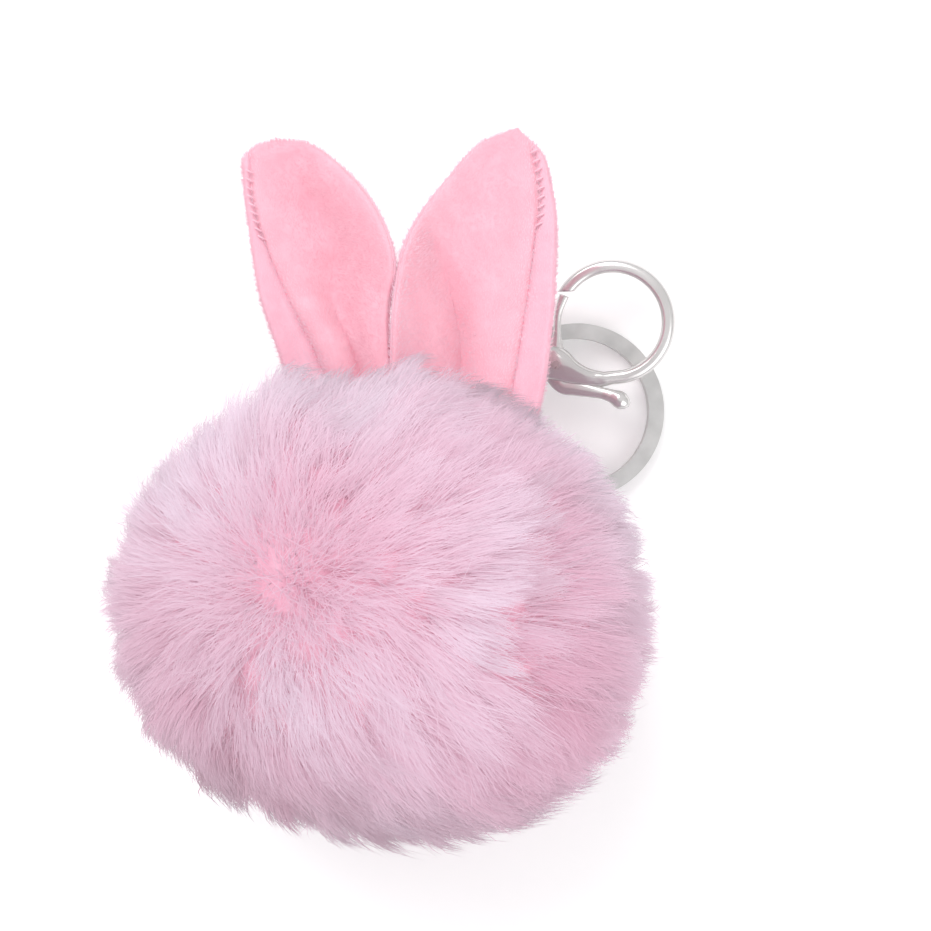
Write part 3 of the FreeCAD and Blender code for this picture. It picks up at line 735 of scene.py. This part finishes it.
def panel_surface(side, front):
    """A panel's outer and inner faces as grids (rows, columns, 3) in the ear's own place."""
    shares = 1 - (1 - np.linspace(0, 1, EAR_ROWS)) ** 1.5
    shares[-1] = 0.9995
    middle, half, place = ear_section(side, shares)
    seam_turn = np.arccos(place)  # 0 is the high side's edge, pi the low side's, and the front is between
    if EARS[side]["outer"] > 0:
        far_edge, seam_again = np.full_like(seam_turn, math.pi), 2 * math.pi + seam_turn
        start, stop = (seam_turn, far_edge) if front else (far_edge, seam_again)
    else:
        far_edge, edge_again = np.zeros_like(seam_turn), np.full_like(seam_turn, 2 * math.pi)
        start, stop = (far_edge, seam_turn) if front else (seam_turn, edge_again)
    share = np.linspace(0, 1, PANEL_COLUMNS)
    turn = start[:, None] + (stop - start)[:, None] * share
    size = np.linalg.norm(half, axis=1)[:, None]
    border = np.minimum(share, 1 - share) * (stop - start)[:, None] * size
    groove = 1 - SEAM_GROOVE * np.exp(-((border / SEAM_WIDTH) ** 2))
    thickness = EAR_HALF_THICKNESS * np.clip(size / 5, 0.35, 1)
    depth = thickness * np.sign(np.sin(turn)) * np.abs(np.sin(turn)) ** 0.45 * groove
    faces = []
    for shrink, part in ((0.0, 1.0), (PANEL_THICKNESS, 0.25)):
        across = np.cos(turn) * np.maximum(1 - shrink / np.maximum(size, 0.8), 0.1)
        plan = middle[:, None, :] + half[:, None, :] * across[..., None]
        rise = ear_rise(plan[..., 0], plan[..., 1], side)
        slope = (ear_rise(plan[..., 0] + 0.05, plan[..., 1], side) - rise) / 0.05
        tilt = np.stack([-slope, np.zeros_like(slope), np.ones_like(slope)], -1)
        base = np.concatenate([plan, rise[..., None]], -1)
        faces.append(base + unit(tilt) * (depth * part)[..., None])
    return faces


def grid_faces(rows, columns, start=0, flip=False):
    """Four-sided faces over a grid of points that starts at index start."""
    a = (np.arange(rows - 1)[:, None] * columns + np.arange(columns - 1)).ravel() + start
    quads = np.stack([a, a + 1, a + columns + 1, a + columns], 1)
    return quads[:, ::-1] if flip else quads


def make_panel(side, front, material):
    """A velour panel with real thickness: outer face, inner face and the rim between them."""
    outer, inner = panel_surface(side, front)
    rows, columns = outer.shape[:2]
    points = ear_to_ball(np.concatenate([outer.reshape(-1, 3), inner.reshape(-1, 3)]), side)
    count = rows * columns
    index = np.arange(count).reshape(rows, columns)
    rim = np.concatenate([index[0], index[1:, -1], index[-1, -2::-1], index[-2:0:-1, 0]])
    after = np.roll(rim, -1)
    walls = np.stack([rim, rim + count, after + count, after], 1)
    quads = np.concatenate([
        grid_faces(rows, columns, 0, True), grid_faces(rows, columns, count), walls[:, ::-1],
    ])
    part = "front" if front else "back"
    name = f"{side}_ear_{part}_velour"
    panel = add_mesh(name, points, quads.ravel(), np.full(len(quads), 4), material, f"{side}_ear")
    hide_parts(f"{side}_ear_{part}_panel")
    spread = np.array(points[:count]).reshape(rows, columns, 3)
    return panel, spread


def make_pile(side, front, spread, material):
    """The velour's own short pile, standing off the cloth and leaning towards the tip."""
    rng = np.random.default_rng(SEED + 2 + 2 * front + (side == "left"))
    a, b = spread[1:, :-1] - spread[:-1, :-1], spread[:-1, 1:] - spread[:-1, :-1]
    normal = np.cross(a, b)
    area = np.linalg.norm(normal, axis=-1).ravel()
    count = int(area.sum() * (PILE_DENSITY if front else BACK_PILE_DENSITY))
    cell = rng.choice(len(area), count, p=area / area.sum())
    s, t = rng.random((2, count, 1))
    base = spread[:-1, :-1].reshape(-1, 3)[cell] + a.reshape(-1, 3)[cell] * s + b.reshape(-1, 3)[cell] * t
    out = unit(normal.reshape(-1, 3)[cell])
    along = unit(a.reshape(-1, 3)[cell])
    lie = unit(along + 0.35 * rng.normal(size=(count, 3)))
    length = PILE_LENGTH * rng.uniform(0.6, 1.15, (count, 1))
    root = base - 0.15 * out
    mid = base + length * (0.42 * out + 0.30 * lie)
    tip = base + length * (0.62 * out + 0.85 * lie)
    paths = np.stack([root, mid, tip], 1)
    row, column = np.divmod(cell, spread.shape[1] - 1)
    share = (column + 0.5) / (spread.shape[1] - 1)
    # Paler pile along the panel's edges and near the tip: painted sheen, the brightening of velour seen at a
    # slant.
    border = np.exp(-((np.minimum(share, 1 - share) / 0.20) ** 2))
    end = np.exp(-(((1 - row / EAR_ROWS) / 0.10) ** 2))
    tint = EARS[side]["paleness"] + EDGE_PAINTED_SHEEN * np.maximum(border, end) + 0.08 * rng.normal(size=count)
    tint = np.clip(tint, 0, 1)
    radius = np.full(count, PILE_RADIUS)
    lit = unit(out + np.array([0, 0, LIGHT_THROUGH_PILE]))
    name = f"{side}_ear_{'front' if front else 'back'}_pile"
    pile = add_strands(name, paths, radius, tint, lit, PILE_SOFTNESS, material, f"{side}_ear")
    pile.visible_shadow = False


def make_stitches(side, material):
    """Small slanted whip stitches over the seam, near the tip."""
    ear = EARS[side]
    length = ear["seam"][-1][1]
    along = np.linspace(STITCH_START, STITCH_STOP, STITCHES) * length
    turn = np.linspace(-1, 1, 9)
    data = bpy.data.curves.new(f"{side}_ear_seam_thread", "CURVE")
    data.dimensions = "3D"
    data.bevel_depth = STITCH_RADIUS * MM
    data.bevel_resolution = 3
    data.use_fill_caps = True
    for y in along:
        x = line_across(ear["seam"], y) + turn * STITCH_REACH
        slant = y + 0.35 * turn * ear["outer"]
        rise = ear_rise(x, slant, side) + EAR_HALF_THICKNESS * (1.0 - 0.2 * turn**2) + 0.25
        points = ear_to_ball(np.stack([x, slant, rise], 1), side) * MM
        spline = data.splines.new("POLY")
        spline.points.add(len(points) - 1)
        spline.points.foreach_set("co", np.concatenate([points, np.ones((len(points), 1))], 1).ravel())
    data.materials.append(material)
    stitches = bpy.data.objects.new(f"{side}_ear_seam_thread", data)
    bpy.context.scene.collection.objects.link(stitches)
    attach(stitches, f"{side}_ear")
    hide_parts(f"{side}_ear_whip_stitches")


def velour(part, dark, light, dull, bright):
    """The cloth and the pile of one kind of panel."""
    cloth = cloth_material(f"velour_{part}", dark, light, 260, 0.05, 0.85, 0.1)
    # The pile's last number, 0.12, is its painted glow: emission that lifts its shade.
    return cloth, fibre_material(f"velour_{part}_pile", dull, bright, 0.8, 0.1, 0.12)


def make_ears():
    """Each ear's stitches, its two panels and their pile."""
    front_cloth, front_pile = velour(
        "front", (0.90, 0.43, 0.52), (0.93, 0.50, 0.59),
        [(0.0, (0.80, 0.32, 0.41)), (1.0, (0.82, 0.37, 0.46))],
        [(0.0, (0.80, 0.46, 0.55)), (1.0, (0.80, 0.63, 0.71))],
    )
    back_cloth, back_pile = velour(
        "back", (0.88, 0.46, 0.56), (0.92, 0.52, 0.62),
        [(0.0, (0.78, 0.34, 0.43)), (1.0, (0.80, 0.41, 0.50))],
        [(0.0, (0.79, 0.46, 0.56)), (1.0, (0.79, 0.60, 0.69))],
    )
    for side in EARS:
        make_stitches(side, THREAD)
        for front in (True, False):
            panel, spread = make_panel(side, front, front_cloth if front else back_cloth)
            make_pile(side, front, spread, front_pile if front else back_pile)


# ---------------------------------------------------------------- the clasp

RING_POINTS = 28
SECTIONS = 150
HOOK_CENTRE = (23.3, 0.0)
HOOK_RADIUS = 9.45
HOOK_WIRE = 1.15
HOOK_START, HOOK_END = 248.0, 473.0
HOOK_SLANT = 5.0
BARREL_START = 6.8
POST_BORE = 1.08
BORE_DEPTH = 1.2
SHANK_SECTIONS = 60
WIRE_BOXY = 0.35  # how square the hook's wire is
PIVOT = (11.4, -0.8)
RIDGE = -0.2
FACET_FALL = 0.28
# The shank from the barrel to the hook, as (inner edge, outer edge, half height) sections.
SHANK = [
    ((6.8, 2.2), (6.8, -2.2), 2.2), ((8.6, 2.25), (8.6, -2.25), 2.2), ((10.6, 2.8), (9.9, -3.4), 2.2),
    ((12.8, 2.3), (11.1, -4.7), 2.15), ((14.2, 0.1), (12.5, -5.9), 2.0), ((14.7, -2.4), (14.0, -7.1), 1.8),
    ((15.7, -4.4), (15.7, -8.2), 1.55), ((17.4, -6.2), (17.5, -8.9), 1.35),
]
# The slot between the cheeks that the lever turns in.
SLOT = [
    (8.8, -1.4), (9.4, 0.9), (10.6, 2.0), (10.6, 6.0), (16.0, 6.0), (15.6, 1.2), (14.2, -2.4), (14.4, -5.0),
    (15.6, -9.5), (12.0, -10.0), (7.6, -6.5), (7.6, -3.2),
]
SLOT_HALF_HEIGHT = 1.25
# The lever from the gate's tip over the pivot to the thumb knob: (along, across, half width, half height).
LEVER = [
    (18.95, 8.25, 0.85, 0.6), (17.9, 7.5, 0.78, 0.62), (16.7, 6.5, 0.68, 0.64), (15.6, 5.2, 0.64, 0.66),
    (14.7, 3.9, 0.7, 0.7), (13.6, 2.4, 0.95, 0.7), (12.4, 0.9, 1.6, 0.7), (11.4, -0.8, 2.2, 0.7),
    (10.4, -2.7, 1.9, 0.7), (10.4, -4.3, 1.5, 0.7), (11.9, -5.9, 1.35, 0.7), (13.8, -7.7, 1.15, 0.72),
    (15.3, -9.2, 1.0, 0.75), (16.3, -10.4, 1.15, 0.95), (16.95, -11.4, 1.5, 1.3), (17.35, -12.2, 1.5, 1.3),
    (17.8, -12.9, 1.0, 0.9), (18.1, -13.35, 0.35, 0.3),
]
LEVER_MIDDLE = 0.375


def joint(name):
    """The frame's entry for a joint."""
    return [j for j in frame["joints"] if j["name"] == name][0]


def clasp_to_object(points):
    """From the clasp's own place (along, across, up) to the object's frame, from its two joints."""
    ahead = -np.array(joint("clasp_swivel")["axis"])
    up = np.array(joint("lever_open")["axis"])
    up = up * np.sign(up[2])
    left = np.cross(up, ahead)
    origin = np.array(joint("lever_open")["pos_m"]) / MM - PIVOT[0] * ahead - PIVOT[1] * left
    return origin + points[..., :1] * ahead + points[..., 1:2] * left + points[..., 2:3] * up


def loft(name, inner, outer, middle, height, boxy, ridge, material, body):
    """A closed piece through sections from inner to outer edges, each with a soft ridge between its edges.

    boxy says how square each section is: 0 for a round one, 1 for one with two facets and soft corners.
    """
    turn = np.arange(RING_POINTS) * 2 * math.pi / RING_POINTS
    q = np.cos(turn)
    span = np.where(q > ridge, 1 - ridge, 1 + ridge)
    far = (np.abs(q - ridge) / span).clip(0, 1)
    boxy = boxy[:, None]
    facets = (1 - far ** (2 + 4 * boxy)) ** 0.5 * (1 - FACET_FALL * boxy * far)
    roof = facets * np.sign(np.sin(turn) + 1e-9)
    plan = inner[:, None] * ((1 - q) / 2)[None, :, None] + outer[:, None] * ((1 + q) / 2)[None, :, None]
    up = middle + height[:, None] * roof
    rings = np.concatenate([plan, up[..., None]], -1)
    points = clasp_to_object(rings.reshape(-1, 3))
    count = len(rings)
    index = np.arange(count * RING_POINTS).reshape(count, RING_POINTS)
    following = np.roll(index, -1, 1)
    quads = np.stack([index[:-1], following[:-1], following[1:], index[1:]], -1).reshape(-1, 4)
    loops = np.concatenate([quads.ravel(), index[0, ::-1], index[-1]])
    sizes = np.concatenate([np.full(len(quads), 4), [RING_POINTS, RING_POINTS]])
    return add_mesh(name, points, loops, sizes, material, body)


def cut_prism(piece, outline, low, high, axis=2):
    """Cuts a prism on a closed outline out of a piece, upright (axis 2) or along the clasp (axis 0)."""
    count = len(outline)
    points = np.array([(a, b, c) for c in (low, high) for a, b in outline], float)
    points = np.roll(points, 1, 1) if axis == 0 else points
    sides = [(i, (i + 1) % count, count + (i + 1) % count, count + i) for i in range(count)]
    faces = [tuple(range(count))[::-1], tuple(range(count, 2 * count)), *sides]
    data = bpy.data.meshes.new("cutter")
    data.from_pydata((clasp_to_object(points) * MM).tolist(), [], faces)
    cutter = bpy.data.objects.new("cutter", data)
    bpy.context.scene.collection.objects.link(cutter)
    modifier = piece.modifiers.new("cut", "BOOLEAN")
    modifier.operation = "DIFFERENCE"
    modifier.object = cutter
    modifier.solver = "EXACT"
    graph = bpy.context.evaluated_depsgraph_get()
    data = bpy.data.meshes.new_from_object(piece.evaluated_get(graph))
    piece.modifiers.clear()
    piece.data = data
    bpy.data.objects.remove(cutter)


def circle(radius, count=24):
    """An outline of points round a circle."""
    return [(radius * math.cos(t), radius * math.sin(t)) for t in np.arange(count) * 2 * math.pi / count]


def make_clasp_body(material):
    """Barrel, shank and hook in one casting, with the lever's slot and the swivel post's bore."""
    shares = np.linspace(0, 1, SHANK_SECTIONS)
    inner = smooth_curve([s[0] for s in SHANK], shares)
    outer = smooth_curve([s[1] for s in SHANK], shares)
    height = np.interp(shares, np.linspace(0, 1, len(SHANK)), [s[2] for s in SHANK])
    share = np.linspace(0, 1, SECTIONS - SHANK_SECTIONS)
    angle = np.radians(HOOK_START + (HOOK_END - HOOK_START) * share)
    slant = np.radians(HOOK_SLANT) * np.clip((share - 0.93) / 0.07, 0, 1)
    centre = np.array(HOOK_CENTRE)
    inner_way = np.stack([np.cos(angle - slant), np.sin(angle - slant)], 1)
    outer_way = np.stack([np.cos(angle + slant), np.sin(angle + slant)], 1)
    ring_inner = centre + (HOOK_RADIUS - HOOK_WIRE) * inner_way
    ring_outer = centre + (HOOK_RADIUS + HOOK_WIRE) * outer_way
    wire = HOOK_WIRE * (1 - 0.25 * np.clip((share - 0.8) / 0.2, 0, 1))
    fade = np.clip((1 - shares) / 0.12, WIRE_BOXY, 1)
    boxy = np.clip((inner[:, 0] - BARREL_START - 1.5) / 2.5, 0, 1) * fade
    body = loft(
        "clasp_casting", np.concatenate([inner, ring_inner]), np.concatenate([outer, ring_outer]), 0.0,
        np.concatenate([height, wire]), np.concatenate([boxy, np.full(len(share), WIRE_BOXY)]),
        RIDGE, material, "clasp",
    )
    cut_prism(body, SLOT, -SLOT_HALF_HEIGHT, SLOT_HALF_HEIGHT)
    cut_prism(body, circle(POST_BORE), BARREL_START - 1, BARREL_START + BORE_DEPTH, 0)
    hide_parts("clasp_body")


def make_clasp_lever(material):
    """Gate, hub and thumb arm with its drop-shaped knob, in one casting."""
    shares = np.linspace(0, 1, SECTIONS)
    line = smooth_curve([s[:2] for s in LEVER], shares)
    steps = np.linalg.norm(np.diff([s[:2] for s in LEVER], axis=0), axis=1)
    knots = np.concatenate([[0], np.cumsum(steps)]) / steps.sum()
    width = np.interp(shares, knots, [s[2] for s in LEVER])
    height = np.interp(shares, knots, [s[3] for s in LEVER])
    along = unit(np.gradient(line, axis=0))
    aside = np.stack([-along[:, 1], along[:, 0]], 1)
    lever = loft(
        "clasp_lever_casting", line - aside * width[:, None], line + aside * width[:, None], LEVER_MIDDLE,
        height, np.clip((0.9 - shares) / 0.1, 0, 1), 0.0, material, "lever",
    )
    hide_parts("clasp_lever")


# ---------------------------------------------------------------- finishes on the CAD pieces

STEEL = metal_material("satin_steel", (0.56, 0.56, 0.55), (0.66, 0.66, 0.65), 300, 0.34, 0.01)
NICKEL = metal_material("polished_nickel", (0.68, 0.67, 0.66), (0.76, 0.75, 0.74), 140, 0.22, 0.004)
PIN = metal_material("rivet_steel", (0.50, 0.49, 0.48), (0.62, 0.61, 0.60), 400, 0.28, 0.01)
SPRING = metal_material("spring_steel", (0.42, 0.42, 0.44), (0.55, 0.55, 0.57), 600, 0.32, 0.01)
THREAD = cloth_material("pink_thread", (0.88, 0.48, 0.58), (0.92, 0.56, 0.66), 3500, 0.06, 0.7, 0.2)
KNIT = cloth_material("knit_backing", (0.80, 0.60, 0.66), (0.88, 0.70, 0.76), 1400, 0.15, 0.9)
FILLING = cloth_material("fibre_filling", (0.85, 0.85, 0.84), (0.94, 0.94, 0.93), 260, 0.6, 0.95)
CORD = cloth_material("braided_cord", (0.78, 0.74, 0.76), (0.90, 0.87, 0.88), 2200, 0.12, 0.75, 0.1)

FINISHES = {
    "split_key_ring": STEEL,
    "clasp_body": NICKEL,
    "clasp_lever": NICKEL,
    "swivel_eye": NICKEL,
    "lever_pin": PIN,
    "lever_spring": SPRING,
    "fur_backing": KNIT,
    "fibre_stuffing": FILLING,
    "hanger_loop": CORD,
    "hanger_loop_knot": CORD,
}


def finish_cad_pieces():
    """A finish on every piece that comes from the CAD. What isn't named is thread."""
    for name, node in frame["nodes"].items():
        node.data.materials.clear()
        node.data.materials.append(FINISHES.get(name, THREAD))


# ---------------------------------------------------------------- making it all

make_camera()
make_world()
make_floor()
make_light("key", (-0.25, 0.50, 0.70), 0.5, 4.0)
make_light("fill", (0.45, -0.45, 0.6), 0.7, 2.2)
bpy.context.scene.view_settings.view_transform = "Standard"

finish_cad_pieces()
# The fur's last number, 0.22, is its painted glow: emission that lifts its shade.
FUR = fibre_material(
    "long_fur",
    [(0.0, (0.61, 0.28, 0.38)), (0.5, (0.61, 0.34, 0.44)), (1.0, (0.62, 0.38, 0.48))],
    [(0.0, (0.62, 0.33, 0.43)), (0.5, (0.64, 0.46, 0.55)), (1.0, (0.67, 0.57, 0.66))],
    0.65, 0.2, 0.22,
)
UNDERCOAT = cloth_material("short_fur", (0.74, 0.36, 0.47), (0.78, 0.44, 0.55), 500, 0.5, 0.9, 0.1)
make_undercoat(UNDERCOAT)
make_fur(FUR)
make_ears()
make_clasp_body(NICKEL)
make_clasp_lever(NICKEL)
